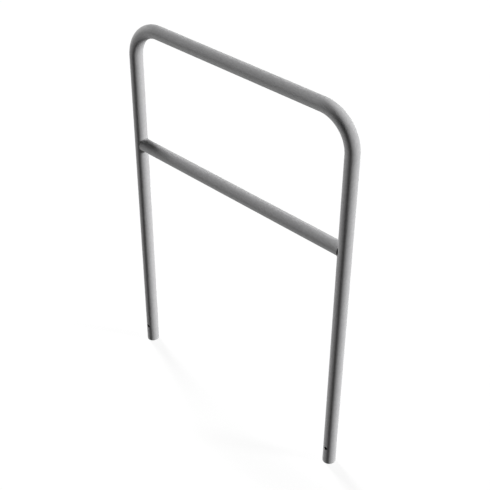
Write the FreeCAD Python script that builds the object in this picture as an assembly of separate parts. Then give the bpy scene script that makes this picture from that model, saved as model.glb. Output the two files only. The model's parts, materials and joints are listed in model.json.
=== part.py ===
import FreeCAD, Part
import os
from math import pi, sqrt

# Hoop barrier: a bent steel tube planted in the ground, with a crossbar welded between its legs.
# Millimetres, +Z up, +X along the width. The origin is midway between the feet, on the plane of their ends.

# Driving dimensions
tube_od = 48.3  # round steel tube, one stock for the hoop and the crossbar
tube_wall = 2.6
clear_width = 940.0  # between the legs
overall_height = 1450.0  # from the feet to the top of the rail
bend_radius = 125.0  # to the tube's centre line
crossbar_height = 950.0  # from the feet to the crossbar's axis
anchor_hole_d = 14.0  # front-to-back hole in each leg for an anchor rod
anchor_hole_height = 75.0
end_chamfer = 0.5  # deburring of the sawn feet
tip_setback = 16.0  # from the leg's axis to the cropped tips of each cope, so the joint is open at its sides
weld_leg = 3.5  # fillet above and below the crossbar
weld_face = 4.0  # width of its flat face
weld_sink = 1.2  # drop of the bead's line towards the joint's sides, where the groove is wider
weld_stop = 1.0  # length of joint left bare between the end of a bead and the cropped tip

# Derived sizes
tube_r = tube_od / 2
bore_r = tube_r - tube_wall
leg_x = clear_width / 2 + tube_r
rail_z = overall_height - tube_r
bend_x = leg_x - bend_radius
bend_z = rail_z - bend_radius
tip_x = leg_x - tip_setback
SIDES = {"left": -1, "right": 1}
V = FreeCAD.Vector
along_x = V(1, 0, 0)
along_y = V(0, 1, 0)
along_z = V(0, 0, 1)


def round_bar(radius, start, direction, length):
    """A solid cylinder from its start point."""
    return Part.makeCylinder(radius, length, start, direction)


def bend(side):
    """The quarter circle of the centre line, from the leg to the rail."""
    diagonal = bend_radius * sqrt(0.5)
    foot_end = V(side * leg_x, 0, bend_z)
    middle = V(side * (bend_x + diagonal), 0, bend_z + diagonal)
    rail_end = V(side * bend_x, 0, rail_z)
    return Part.Arc(foot_end, middle, rail_end).toShape()


def hoop_path():
    """The hoop's centre line: up the left leg, along the rail and down the right leg."""
    legs = [Part.makeLine(V(x, 0, 0), V(x, 0, bend_z)) for x in (-leg_x, leg_x)]
    rail = Part.makeLine(V(-bend_x, 0, rail_z), V(bend_x, 0, rail_z))
    edges = [legs[0], bend(-1), rail, bend(1), legs[1]]
    return Part.Wire(Part.__sortEdges__(edges))


def swept_round(path, radius):
    """A solid round section carried along a path that starts at the left foot."""
    section = Part.Wire(Part.makeCircle(radius, V(-leg_x, 0, 0), along_z))
    return path.makePipeShell([section], True, False)


def hoop_tube():
    """The bent tube, with its anchor holes and deburred feet."""
    path = hoop_path()
    tube = swept_round(path, tube_r).cut(swept_round(path, bore_r))
    foot_edges = [edge for edge in tube.Edges if edge.BoundBox.ZMax < end_chamfer]
    tube = tube.makeChamfer(end_chamfer, foot_edges)
    for side in SIDES.values():
        front = V(side * leg_x, -tube_od, anchor_hole_height)
        tube = tube.cut(round_bar(anchor_hole_d / 2, front, along_y, 2 * tube_od))
    return tube


def leg_blank(side):
    """The leg's outside as a solid, over the height of the joint."""
    base = V(side * leg_x, 0, crossbar_height - 2 * tube_od)
    return round_bar(tube_r, base, along_z, 4 * tube_od)


def crossbar_blank(radius):
    """A straight round between the cropped tips of the two copes."""
    return round_bar(radius, V(-tip_x, 0, crossbar_height), along_x, 2 * tip_x)


def crossbar():
    """The straight tube, coped at both ends to the outside of the legs, above and below.

    The tips that would reach round the front and the back of each leg are cropped square, and what stays open
    there lets molten zinc in and out of the tube.
    """
    tube = crossbar_blank(tube_r).cut(crossbar_blank(bore_r))
    for side in SIDES.values():
        tube = tube.cut(leg_blank(side))
    return tube


def weld(side):
    """The two beads of one joint, a flat-faced fillet above the crossbar and its mirror image below.

    Tubes of one size meet in two half ellipses. The bead is drawn at the crown of the upper one, swept along
    a line that sinks towards the sides, and stopped just short of the cropped tips.
    """
    throat = weld_leg * sqrt(0.5)
    root_depth = throat + weld_sink
    root_width = 2.5 * weld_face
    centre = V(side * leg_x, 0, crossbar_height)
    crown = V(side * (leg_x - tube_r), 0, crossbar_height + tube_r)
    flank = centre + along_y * (tube_r - weld_sink)
    outward = (crown - centre).normalize()
    across = outward.cross(along_y)
    face = crown + throat * outward
    root = face - root_depth * outward
    section = [
        face + weld_face / 2 * across,
        face - weld_face / 2 * across,
        root - root_width / 2 * across,
        root + root_width / 2 * across,
    ]
    saddle = Part.Ellipse(crown, flank, centre)
    line = Part.ArcOfEllipse(saddle, -pi / 2, pi / 2).toShape()
    bead = Part.Wire(line).makePipeShell([Part.makePolygon(section + section[:1])], True, False)
    stop_x = tip_x - weld_stop
    corner = V(-stop_x, -2 * tube_od, crossbar_height)
    between_stops = Part.makeBox(2 * stop_x, 4 * tube_od, 4 * tube_od, corner)
    upper = bead.common(between_stops).cut(leg_blank(side)).cut(crossbar_blank(tube_r)).removeSplitter()
    lower = upper.mirror(centre, along_z)
    return Part.makeCompound([upper, lower])


pieces = {"hoop_tube": hoop_tube(), "crossbar": crossbar()}
for name, side in SIDES.items():
    pieces[f"{name}_weld"] = weld(side)

os.makedirs("parts", exist_ok=True)
for name, shape in pieces.items():
    shape.exportStep(f"parts/{name}.step")
    print(name, "solids", len(shape.Solids), "mm3", round(shape.Volume), "valid", shape.isValid())
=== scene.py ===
import json

import bmesh
import bpy
import numpy as np
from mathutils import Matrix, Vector


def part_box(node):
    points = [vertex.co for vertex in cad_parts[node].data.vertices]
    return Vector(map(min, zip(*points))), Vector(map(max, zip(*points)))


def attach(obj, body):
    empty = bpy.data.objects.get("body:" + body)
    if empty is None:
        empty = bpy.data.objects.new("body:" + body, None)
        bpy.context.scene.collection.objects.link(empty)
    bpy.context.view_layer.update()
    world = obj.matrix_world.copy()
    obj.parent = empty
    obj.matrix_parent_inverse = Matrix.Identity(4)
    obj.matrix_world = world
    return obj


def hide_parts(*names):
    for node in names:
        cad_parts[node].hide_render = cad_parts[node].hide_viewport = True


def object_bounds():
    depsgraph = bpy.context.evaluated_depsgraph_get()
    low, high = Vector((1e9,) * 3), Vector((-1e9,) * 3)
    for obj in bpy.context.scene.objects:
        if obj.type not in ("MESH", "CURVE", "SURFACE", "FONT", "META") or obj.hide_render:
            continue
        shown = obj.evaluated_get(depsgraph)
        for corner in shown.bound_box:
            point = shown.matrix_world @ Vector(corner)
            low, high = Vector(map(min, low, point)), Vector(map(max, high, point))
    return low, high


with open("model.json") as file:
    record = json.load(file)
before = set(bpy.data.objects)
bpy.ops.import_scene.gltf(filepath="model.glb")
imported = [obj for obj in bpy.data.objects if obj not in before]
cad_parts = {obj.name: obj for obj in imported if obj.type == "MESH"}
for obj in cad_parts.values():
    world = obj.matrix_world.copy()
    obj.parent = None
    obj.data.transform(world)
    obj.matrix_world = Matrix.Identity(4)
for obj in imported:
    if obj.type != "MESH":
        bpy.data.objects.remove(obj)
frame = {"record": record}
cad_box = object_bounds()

# The bent tube. One length of round steel tube, bent cold at both upper corners, sawn square and deburred
# at its feet, and drilled through each leg from front to back for an anchor rod. After welding, the whole
# hoop is dipped in molten zinc, which coats it inside and out and dulls to an even grey.
anchor = next(mount for mount in frame["record"]["mounts"] if mount["name"] == "right_anchor_hole")
leg_x, _, hole_height = anchor["pos_m"]
hole_radius = anchor["dims"]["r_mm"] / 1000
tube_radius = anchor["dims"]["length_mm"] / 2000
tube_wall = 0.0026
bore_radius = tube_radius - tube_wall
bend_radius = 0.125
foot_round = 0.0005
hole_round = 0.0004
rail_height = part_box("hoop_tube")[1].z - tube_radius
leg_length = rail_height - bend_radius
bend_length = bend_radius * np.pi / 2
rail_length = 2 * (leg_x - bend_radius)
tube_length = 2 * (leg_length + bend_length) + rail_length


def centre_line(length):
    """The tube's centre at lengths from the left foot, and the way out of the hoop there: straight up the
    leg, a quarter circle, along the rail, a quarter circle and straight down. Each stretch adds its own
    share."""
    first = np.clip(length - leg_length, 0, bend_length) / bend_radius
    second = np.clip(length - leg_length - bend_length - rail_length, 0, bend_length) / bend_radius
    up = np.minimum(length, leg_length)
    over = np.clip(length - leg_length - bend_length, 0, rail_length)
    down = np.maximum(length - tube_length + leg_length, 0)
    x = -leg_x + bend_radius * (1 - np.cos(first) + np.sin(second)) + over
    z = up + bend_radius * (np.sin(first) - 1 + np.cos(second)) - down
    flat = np.zeros_like(x)
    centre = np.stack([x, flat, z], -1)
    outward = np.stack([-np.cos(first + second), flat, np.sin(first + second)], -1)
    return centre, outward


def on_bent_tube(length, angle, radius):
    """Points of the bent tube: from the centre, a radius along the outward way, turned to the front by an
    angle."""
    centre, outward = centre_line(length)
    front = np.array([0.0, -1.0, 0.0])
    way = np.cos(angle)[:, None] * outward + np.sin(angle)[:, None] * front
    return centre + radius[:, None] * way


def straightened(length, angle, radius):
    """Where a point of a tube was before bending: the tube stands on its left end, its length is the
    height."""
    return np.stack([radius * np.cos(angle), radius * np.sin(angle), length], -1)


def grid_quads(shape, first=0, rows_close=False, columns_close=False):
    """The four corners of every cell of a grid whose points are numbered row by row. Where rows or columns
    close up, the first one comes again after the last."""
    index = first + np.arange(np.prod(shape)).reshape(shape)
    index = np.pad(index, ((0, int(rows_close)), (0, int(columns_close))), mode="wrap")
    return np.stack([index[:-1, :-1], index[:-1, 1:], index[1:, 1:], index[1:, :-1]], -1)


around = 96
edge_steps = 5
rounded = np.linspace(0, np.pi / 2, edge_steps)
drilled_cells = 12
drilled_angle = drilled_cells * np.pi / around
drilled_half = 0.0095


def tube_wall_grid():
    """The whole wall as one closed grid of rings: along the outside from foot to foot, over the rounded rim
    of the right foot, back along the bore, and over the rim of the left foot. Rings are evenly spaced
    between stops at the holes, the bends and the middle of the rail. A close one beside each rim keeps its
    shading off the wall."""
    beside_rim = 0.0006
    foot_cells, leg_cells, bend_cells, rail_cells = 5, 60, 48, 18
    cells = [foot_cells, drilled_cells, leg_cells, bend_cells, rail_cells]
    stops = [
        foot_round + beside_rim,
        hole_height - drilled_half,
        hole_height + drilled_half,
        leg_length,
        leg_length + bend_length,
        tube_length / 2,
    ]
    half = np.interp(np.arange(sum(cells) + 1), np.cumsum([0] + cells), stops)
    stations = np.concatenate([half, tube_length - half[-2::-1]])
    rim = foot_round * (1 - np.cos(rounded))
    drop = foot_round * (1 - np.sin(rounded))
    outside = np.concatenate([rim, stations, tube_length - rim[::-1]])
    lowered = np.concatenate([drop, np.zeros(len(stations)), drop[::-1]])
    length = np.concatenate([outside, outside[::-1]])
    radius = np.concatenate([tube_radius - lowered, bore_radius + lowered])
    angle = np.arange(around) * 2 * np.pi / around
    return np.broadcast_arrays(length[:, None], angle[None], radius[:, None])


def drilled_grid(at_length, at_angle):
    """The wall round a drilled hole, as rings that run from a square of the outside skin in to the hole's
    rounded edge, through the wall and out again to the same square of the bore. A ring is a blend of square
    and circle, laid on the skin by the sine of its angle, as a drill held square to the tube leaves it."""
    step = np.linspace(-1, 1, drilled_cells + 1)[:-1]
    one = np.ones(drilled_cells)
    square_across = np.concatenate([step, one, -step, -one])
    square_along = np.concatenate([-one, step, one, -step])
    turn = np.arctan2(square_along, square_across)
    square_share = np.array([1, 0.75, 0.5, 0.28, 0.1])
    no_square = np.zeros(edge_steps)
    on_skin = np.zeros(len(square_share))
    wide = np.full(len(square_share), hole_round)
    rim = hole_round * (1 - np.sin(rounded))
    drop = hole_round * (1 - np.cos(rounded))
    blend = np.concatenate([square_share, no_square, no_square, square_share[::-1]])[:, None]
    circle = hole_radius + np.concatenate([wide, rim, rim[::-1], wide])[:, None]
    outer = tube_radius - np.concatenate([on_skin, drop])
    inner = bore_radius + np.concatenate([drop[::-1], on_skin])
    skin = np.concatenate([outer, inner])[:, None]
    across = blend * skin * np.sin(square_across * drilled_angle) + (1 - blend) * circle * np.cos(turn)
    along = blend * square_along * drilled_half + (1 - blend) * circle * np.sin(turn)
    return at_length + along, at_angle + np.arcsin(across / skin), np.broadcast_to(skin, across.shape)


same_point = 1e-6
sharp_turn = np.radians(45)


def make_piece(name, points, quads, unbent, rim, bore):
    """An object from grids that share their borders: points of no face go, points that coincide become one,
    and an edge that turns sharply is shaded as an edge. Each point keeps its place on the straight tube,
    its nearness to a cut edge, from 0 to 1, and whether it is in a bore, for the material."""
    used, corners = np.unique(quads, return_inverse=True)
    mesh = bpy.data.meshes.new(name)
    mesh.from_pydata(points[used].tolist(), [], corners.reshape(-1, 4).tolist())
    mesh.attributes.new("unbent", "FLOAT_VECTOR", "POINT").data.foreach_set("vector", unbent[used].ravel())
    mesh.attributes.new("rim", "FLOAT", "POINT").data.foreach_set("value", rim[used])
    mesh.attributes.new("bore", "FLOAT", "POINT").data.foreach_set("value", bore[used])
    joined = bmesh.new()
    joined.from_mesh(mesh)
    bmesh.ops.remove_doubles(joined, verts=joined.verts, dist=same_point)
    joined.to_mesh(mesh)
    joined.free()
    mesh.shade_smooth()
    mesh.set_sharp_from_angle(angle=sharp_turn)
    piece = bpy.data.objects.new(name, mesh)
    bpy.context.scene.collection.objects.link(piece)
    return piece


def bent_tube():
    """The wall's grid with its drilled squares left out, and the drilled grids set in their place. Angles
    run from the outside of the hoop towards its front. Nearness to a cut edge falls off from the feet, and
    the holes count as bore up to the outside skin, so their walls take the bore's painted shade."""
    front, back = np.pi / 2, 3 * np.pi / 2
    foot_rub = 0.004
    wall = tube_wall_grid()
    length, angle, radius = wall
    middle = (length[:, 0] + np.roll(length[:, 0], -1)) / 2
    facing = angle[0] + np.pi / around
    whole = np.full(length.shape, True)
    grids = [wall]
    bores = [radius < bore_radius + foot_round]
    hole_quads = []
    count = length.size
    for at_length in (hole_height, tube_length - hole_height):
        for at_angle in (front, back):
            level = np.abs(middle - at_length) < drilled_half
            whole &= ~(level[:, None] & (np.abs(facing - at_angle) < drilled_angle))
            hole = drilled_grid(at_length, at_angle)
            hole_length, _, hole_skin = hole
            grids.append(hole)
            bores.append(hole_skin < tube_radius)
            hole_quads.append(grid_quads(hole_length.shape, count, columns_close=True).reshape(-1, 4))
            count += hole_length.size
    wall_quads = grid_quads(length.shape, rows_close=True, columns_close=True)[whole]
    quads = np.concatenate([wall_quads, *hole_quads])
    length, angle, radius = (np.concatenate([grid[part].ravel() for grid in grids]) for part in range(3))
    points = on_bent_tube(length, angle, radius)
    unbent = straightened(length, angle, radius)
    rim = np.exp(-np.minimum(length, tube_length - length) / foot_rub)
    bore = np.concatenate([inside.ravel() for inside in bores]).astype(float)
    return make_piece("bent_tube", points, quads, unbent, rim, bore)


def feed(tree, socket, value):
    """Links a node's input from a given socket, or sets it to a given value."""
    if isinstance(value, bpy.types.NodeSocket):
        tree.links.new(value, socket)
    else:
        socket.default_value = value


def node(tree, kind, **inputs):
    """A shader node with its inputs fed by name."""
    made = tree.nodes.new(kind)
    for name, value in inputs.items():
        feed(tree, made.inputs[name.replace("_", " ")], value)
    return made


def attribute(tree, name):
    """A shader node that reads one of the piece's own attributes."""
    made = tree.nodes.new("ShaderNodeAttribute")
    made.attribute_name = name
    return made


def vector_math(tree, operation, *values):
    """The result of a sum on vectors, fed in order."""
    step = tree.nodes.new("ShaderNodeVectorMath")
    step.operation = operation
    for socket, value in zip(step.inputs, values):
        feed(tree, socket, value)
    return step.outputs["Value" if operation == "DOT_PRODUCT" else "Vector"]


def number_math(tree, operation, *values):
    """The result of a sum on numbers, fed in order."""
    step = tree.nodes.new("ShaderNodeMath")
    step.operation = operation
    for socket, value in zip(step.inputs, values):
        feed(tree, socket, value)
    return step.outputs["Value"]


def weighted_sum(tree, *parts):
    """The sum of weight times value over pairs of both."""
    total = 0
    for weight, value in parts:
        total = number_math(tree, "MULTIPLY_ADD", value, weight, total)
    return total


def zinc_coat(name, painted_shade, dull, bright, grain_height):
    """Dulled zinc: crystals that differ a little in tone and gloss, each a flat facet with a tilt of its
    own, clouds where the coat is thicker, faint lines along the tube from its drawing and a fine grain. A
    rubbed edge is brighter and smoother, and a bore is darkened with painted shade. Scales count features
    to the metre. Tones add up along a ramp from the painted bore shade, at 0, and roughnesses from smooth,
    at 0, to rough, at 1."""
    crystal_scale, wobble_scale, wobble = 150.0, 260.0, 0.004
    cloud_scale, grain_scale = 9.0, 1300.0
    line_scale, line_stretch = 700.0, 0.015
    crystal_tone, cloud_tone, line_tone, grain_tone = 0.4, 0.25, 0.15, 0.2
    # Painted shade: this tone darkens the inside of the bores and the walls of the drilled holes.
    rubbed_tone, bore_shade_tone = 0.5, -2.0
    dull_tone, bright_tone = 0.2, 0.8
    crystal_roughness, cloud_roughness, rubbed_roughness = 0.5, 0.5, -0.6
    smooth, rough = 0.66, 0.86
    specular_level = 0.15
    facet_slope = 0.03
    line_height = grain_height / 3
    material = bpy.data.materials.new(name)
    material.use_nodes = True
    tree = material.node_tree
    shader = tree.nodes["Principled BSDF"]
    place = attribute(tree, "unbent").outputs["Vector"]
    edge = attribute(tree, "rim").outputs["Fac"]
    bore = attribute(tree, "bore").outputs["Fac"]
    warp = node(tree, "ShaderNodeTexNoise", Vector=place, Scale=wobble_scale, Detail=2.0).outputs["Color"]
    shaken = vector_math(tree, "MULTIPLY_ADD", warp, (wobble, wobble, wobble), place)
    crystals = node(tree, "ShaderNodeTexVoronoi", Vector=shaken, Scale=crystal_scale).outputs
    crystal = node(tree, "ShaderNodeSeparateColor", Color=crystals["Color"]).outputs
    from_middle = vector_math(tree, "SUBTRACT", shaken, crystals["Position"])
    tilt = vector_math(tree, "SUBTRACT", crystals["Color"], (0.5, 0.5, 0.5))
    facet = vector_math(tree, "DOT_PRODUCT", from_middle, tilt)
    clouds = node(tree, "ShaderNodeTexNoise", Vector=place, Scale=cloud_scale, Detail=4.0).outputs["Fac"]
    stretched = node(tree, "ShaderNodeMapping", Vector=place, Scale=(1, 1, line_stretch)).outputs["Vector"]
    lines = node(tree, "ShaderNodeTexNoise", Vector=stretched, Scale=line_scale, Detail=2.0).outputs["Fac"]
    grain = node(tree, "ShaderNodeTexNoise", Vector=place, Scale=grain_scale, Detail=3.0).outputs["Fac"]
    tone = weighted_sum(
        tree,
        (crystal_tone, crystal["Red"]),
        (cloud_tone, clouds),
        (line_tone, lines),
        (grain_tone, grain),
        (rubbed_tone, edge),
        (bore_shade_tone, bore),
    )
    ramp = node(tree, "ShaderNodeValToRGB", Fac=tone)
    stops = ramp.color_ramp.elements
    stops[1].position = bright_tone
    stops.new(dull_tone)
    for stop, colour in zip(stops, (painted_shade, dull, bright)):
        stop.color = (*colour, 1)
    wear = weighted_sum(
        tree,
        (crystal_roughness, crystal["Green"]),
        (cloud_roughness, clouds),
        (rubbed_roughness, edge),
    )
    roughness = node(tree, "ShaderNodeMapRange", Value=wear, To_Min=smooth, To_Max=rough)
    height = weighted_sum(tree, (facet_slope, facet), (grain_height, grain), (line_height, lines))
    bump = node(tree, "ShaderNodeBump", Height=height, Distance=1.0)
    tree.links.new(ramp.outputs["Color"], shader.inputs["Base Color"])
    tree.links.new(roughness.outputs["Result"], shader.inputs["Roughness"])
    tree.links.new(bump.outputs["Normal"], shader.inputs["Normal"])
    shader.inputs["Specular IOR Level"].default_value = specular_level
    return material


# Painted shade: bores and the walls of the drilled holes are darkened towards this colour.
painted_bore_shade = (0.16, 0.155, 0.15)
tube_dull = (0.48, 0.48, 0.485)
tube_bright = (0.56, 0.56, 0.565)
tube_zinc = zinc_coat("tube_zinc", painted_bore_shade, tube_dull, tube_bright, grain_height=0.00004)
hoop = bent_tube()
hoop.data.materials.append(tube_zinc)
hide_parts("hoop_tube")
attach(hoop, "root")

# The crossbar. A straight length of the same tube, coped above and below to sit on the round of the legs.
# The tips of each cope are cropped square, which leaves a slit at the front and the back of each joint,
# where zinc runs in and out of the bar. The welds alone hold it.
crossbar_height = round(sum(corner.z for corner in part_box("crossbar")) / 2, 3)
tip_setback = 0.016
bar_rings = 65


def cope_reach(angle, radius):
    """How far a coped tube reaches along X at an angle from the back upwards: to the leg's round, but not
    past the cropped tips."""
    leg_depth = np.sqrt(tube_radius**2 - (radius * np.cos(angle))**2)
    return leg_x - np.maximum(leg_depth, tip_setback)


def crossbar_tube():
    """The bar's wall as one closed grid of rings, along the outside to the right and back along the bore.
    Each ring is a share of the reach from the middle to the end. The coat's pattern starts further on, as
    on the next length of stock."""
    further_on = 2 * tube_length
    there = np.linspace(-1, 1, bar_rings)
    share = np.concatenate([there, there[::-1]])[:, None]
    radius = np.repeat([tube_radius, bore_radius], bar_rings)[:, None]
    angle = np.arange(around)[None] * 2 * np.pi / around
    x = share * cope_reach(angle, radius)
    quads = grid_quads(x.shape, rows_close=True, columns_close=True).reshape(-1, 4)
    x, angle, radius = (part.ravel() for part in np.broadcast_arrays(x, angle, radius))
    points = np.stack([x, radius * np.cos(angle), crossbar_height + radius * np.sin(angle)], -1)
    unbent = straightened(x + further_on, angle, radius)
    bore = (radius < tube_radius).astype(float)
    return make_piece("crossbar_tube", points, quads, unbent, np.zeros(x.size), bore)


crossbar = crossbar_tube()
crossbar.data.materials.append(tube_zinc)
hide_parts("crossbar")
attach(crossbar, "root")

# The welds. Two beads at each end of the crossbar, one above it and one below, laid by hand along the cope
# before dipping. Their ripples are the freezing lines of the weld pool, softened by the zinc. Their coat is
# darker than the tube's, partly as zinc is darker on weld metal and partly as painted shade for the crease
# where the bar meets the leg.
weld_leg = 0.0032
weld_convexity = 0.0001
weld_sink = 0.00015
weld_depth = 0.001
weld_stop = 0.001
end_round = 0.0045
end_width = 0.4
sway = 0.07
sway_turns = 9
ripple_pitch = 0.0026
ripple_height = 0.00012
ripple_lag = 0.35
bead_steps = 240
face_steps = 21


def unit(vectors):
    """Vectors scaled to a length of one."""
    return vectors / np.linalg.norm(vectors, axis=-1, keepdims=True)


def under_skin(points, axis_point, along):
    """Points moved to just under the skin of the tube whose axis runs through a point along a direction."""
    offset = points - axis_point
    off_axis = offset - (offset @ along)[:, None] * along
    return points - off_axis + (tube_radius - weld_sink) * unit(off_axis)


def joint_line(side, rise, turn):
    """The line where the bar meets a leg, above it or below, its heading and the normals of both skins
    along it. At an angle round the bar, from the back over the crown, it lies the sine short of the leg's
    axis."""
    across, up = tube_radius * np.cos(turn), tube_radius * np.sin(turn)
    level = np.zeros_like(turn)
    line = np.stack([side * (leg_x - up), across, crossbar_height + rise * up], -1)
    heading = unit(np.stack([-side * across, -up, rise * across], -1))
    leg_normal = np.stack([-side * up, across, level], -1) / tube_radius
    bar_normal = np.stack([level, across, rise * up], -1) / tube_radius
    return line, heading, leg_normal, bar_normal


def weld_bead(side, rise):
    """A bead along the joint line, as a grid of the face over a grid of the same size inside the tubes. The
    face is a flat parabola from the toe on the leg to the toe on the bar, scalloped along the line in arcs
    that lag behind at both toes. The toes sway by a sine of their own. At both ends the bead narrows, and
    sinks into the groove by a quarter circle."""
    first_turn = np.arcsin((tip_setback + weld_stop) / tube_radius)
    turn = np.linspace(first_turn, np.pi - first_turn, bead_steps)
    line, heading, leg_normal, bar_normal = joint_line(side, rise, turn)
    travel = np.concatenate([[0], np.cumsum(np.linalg.norm(np.diff(line, axis=0), axis=-1))])
    from_end = np.minimum(travel, travel[-1] - travel)
    fade = np.sqrt(1 - np.clip(1 - from_end / end_round, 0, 1)**2)
    width = weld_leg * (end_width + (1 - end_width) * fade)
    leg_width = side * rise * width * (1 + sway * np.sin(sway_turns * turn + side))
    bar_width = side * rise * width * (1 + sway * np.sin(sway_turns * turn + 2 * rise))
    on_leg = line + leg_width[:, None] * np.cross(leg_normal, heading)
    on_bar = line - bar_width[:, None] * np.cross(bar_normal, heading)
    toe_leg = under_skin(on_leg, np.array([side * leg_x, 0, 0]), np.array([0, 0, 1]))
    toe_bar = under_skin(on_bar, np.array([0, 0, crossbar_height]), np.array([1, 0, 0]))
    swell = unit(leg_normal + bar_normal)
    root = line - weld_sink * swell
    share = np.linspace(0, 1, face_steps)[:, None]
    crown = 4 * share * (1 - share)
    phase = travel / ripple_pitch - ripple_lag * (2 * share - 1)**2
    scallop = ripple_height * (np.abs(np.sin(np.pi * phase)) - 2 / np.pi) * np.sqrt(crown)
    to_root = np.minimum(2 * share, 1)[..., None]
    from_root = np.maximum(2 * share - 1, 0)[..., None]
    groove = toe_leg + to_root * (root - toe_leg) + from_root * (toe_bar - root)
    flat = toe_leg + share[..., None] * (toe_bar - toe_leg)
    raised = flat + (weld_convexity * crown + scallop)[..., None] * swell
    face = groove + fade[:, None] * (raised - groove)
    under = groove - (weld_depth * crown * fade)[..., None] * swell
    return face, under


def joint_weld(name, side):
    """Both beads of a joint, with their faces outwards."""
    points = []
    quads = []
    for rise in (1, -1):
        for layer, grid in zip((1, -1), weld_bead(side, rise)):
            cells = grid_quads(grid.shape[:2], sum(map(len, points))).reshape(-1, 4)
            quads.append(cells[:, ::-1] if side * rise * layer > 0 else cells)
            points.append(grid.reshape(-1, 3))
    points = np.concatenate(points)
    nowhere = np.zeros(len(points))
    return make_piece(name, points, np.concatenate(quads), points, nowhere, nowhere)


# These weld colours are darker partly as zinc is on weld metal and partly as painted shade for the joint's
# crease.
weld_dull_with_shade = (0.32, 0.32, 0.325)
weld_bright_with_shade = (0.4, 0.4, 0.405)
weld_zinc = zinc_coat("weld_zinc", painted_bore_shade, weld_dull_with_shade, weld_bright_with_shade, grain_height=0.00008)
for name, replaced, side in (("weld_left", "left_weld", -1), ("weld_right", "right_weld", 1)):
    weld = joint_weld(name, side)
    weld.data.materials.append(weld_zinc)
    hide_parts(replaced)
    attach(weld, "root")

# The studio. A plain pale floor under a white surround, lit by three far soft lamps: a low key from the
# right and behind, one below the floor on the left, which shines up through it as on a translucent shooting
# table, and one high on the left that throws the hoop's soft shadow.
floor_half = 12.0
floor_drop = 0.0002
floor_grey = 0.16
floor_glow = 0.9
surround_light = 0.02


def seen_directly(tree):
    """1 for what the camera, a reflection or a clear piece shows, and 0 for light that falls on the
    object."""
    path = node(tree, "ShaderNodeLightPath").outputs
    either = number_math(tree, "MAXIMUM", path["Is Camera Ray"], path["Is Glossy Ray"])
    return number_math(tree, "MAXIMUM", either, path["Is Transmission Ray"])


floor_paint = bpy.data.materials.new("floor_paint")
floor_paint.use_nodes = True
tree = floor_paint.node_tree
tree.nodes.remove(tree.nodes["Principled BSDF"])
matt = node(tree, "ShaderNodeBsdfDiffuse", Color=(floor_grey, floor_grey, floor_grey, 1))
glow_level = number_math(tree, "MULTIPLY", seen_directly(tree), floor_glow)
glow = node(tree, "ShaderNodeEmission", Strength=glow_level)
both = node(tree, "ShaderNodeAddShader")
tree.links.new(matt.outputs[0], both.inputs[0])
tree.links.new(glow.outputs[0], both.inputs[1])
tree.links.new(both.outputs[0], tree.nodes["Material Output"].inputs["Surface"])
floor_mesh = bpy.data.meshes.new("floor")
corner_signs = ((-1, -1), (1, -1), (1, 1), (-1, 1))
floor_corners = [(x * floor_half, y * floor_half, -floor_drop) for x, y in corner_signs]
floor_mesh.from_pydata(floor_corners, [], [(0, 1, 2, 3)])
floor_mesh.materials.append(floor_paint)
floor = bpy.data.objects.new("floor", floor_mesh)
bpy.context.scene.collection.objects.link(floor)
floor.visible_shadow = False

world = bpy.data.worlds.new("surround")
world.use_nodes = True
tree = world.node_tree
white = node(tree, "ShaderNodeBackground", Color=(1, 1, 1, 1), Strength=1.0)
dim = node(tree, "ShaderNodeBackground", Color=(1, 1, 1, 1), Strength=surround_light)
pick = node(tree, "ShaderNodeMixShader", Fac=seen_directly(tree))
tree.links.new(dim.outputs[0], pick.inputs[1])
tree.links.new(white.outputs[0], pick.inputs[2])
tree.links.new(pick.outputs[0], tree.nodes["World Output"].inputs["Surface"])
bpy.context.scene.world = world


def towards(azimuth, elevation):
    """The direction at an azimuth from the front towards the right, and an elevation, in degrees."""
    turn, rise = np.radians([azimuth, elevation])
    return Vector((np.sin(turn) * np.cos(rise), -np.cos(turn) * np.cos(rise), np.sin(rise)))


def soft_lamp(name, azimuth, elevation, level, spread):
    """A far lamp in a direction, level being what it makes of a white sheet held square to it."""
    light = bpy.data.lights.new(name, "SUN")
    light.energy = level * np.pi
    light.angle = np.radians(spread)
    lamp = bpy.data.objects.new(name, light)
    lamp.rotation_mode = "QUATERNION"
    lamp.rotation_quaternion = towards(azimuth, elevation).to_track_quat("Z", "Y")
    bpy.context.scene.collection.objects.link(lamp)


soft_lamp("key", azimuth=120.6, elevation=10.0, level=1.15, spread=13.0)
soft_lamp("low", azimuth=-67.7, elevation=-16.8, level=0.54, spread=15.0)
soft_lamp("high", azimuth=-106.8, elevation=57.3, level=0.64, spread=11.0)

# The camera. It looks down at the hoop's middle from the front and right, equally along all three axes,
# through a long lens. Its frame is shifted a little, so that the hoop stands where it should in the
# picture.
camera_distance = 3.597
view_centre = Vector((0, 0, (cad_box[0].z + cad_box[1].z) / 2))
view_back = Vector((1, -1, 1)).normalized()
camera = bpy.data.objects.new("camera", bpy.data.cameras.new("camera"))
camera.data.lens = 73.65
camera.data.shift_x = 0.0206
camera.data.shift_y = 0.0017
camera.location = view_centre + camera_distance * view_back
camera.rotation_mode = "QUATERNION"
camera.rotation_quaternion = (-view_back).to_track_quat("-Z", "Y")
bpy.context.scene.collection.objects.link(camera)
bpy.context.scene.camera = camera
bpy.context.scene.view_settings.view_transform = "Standard"
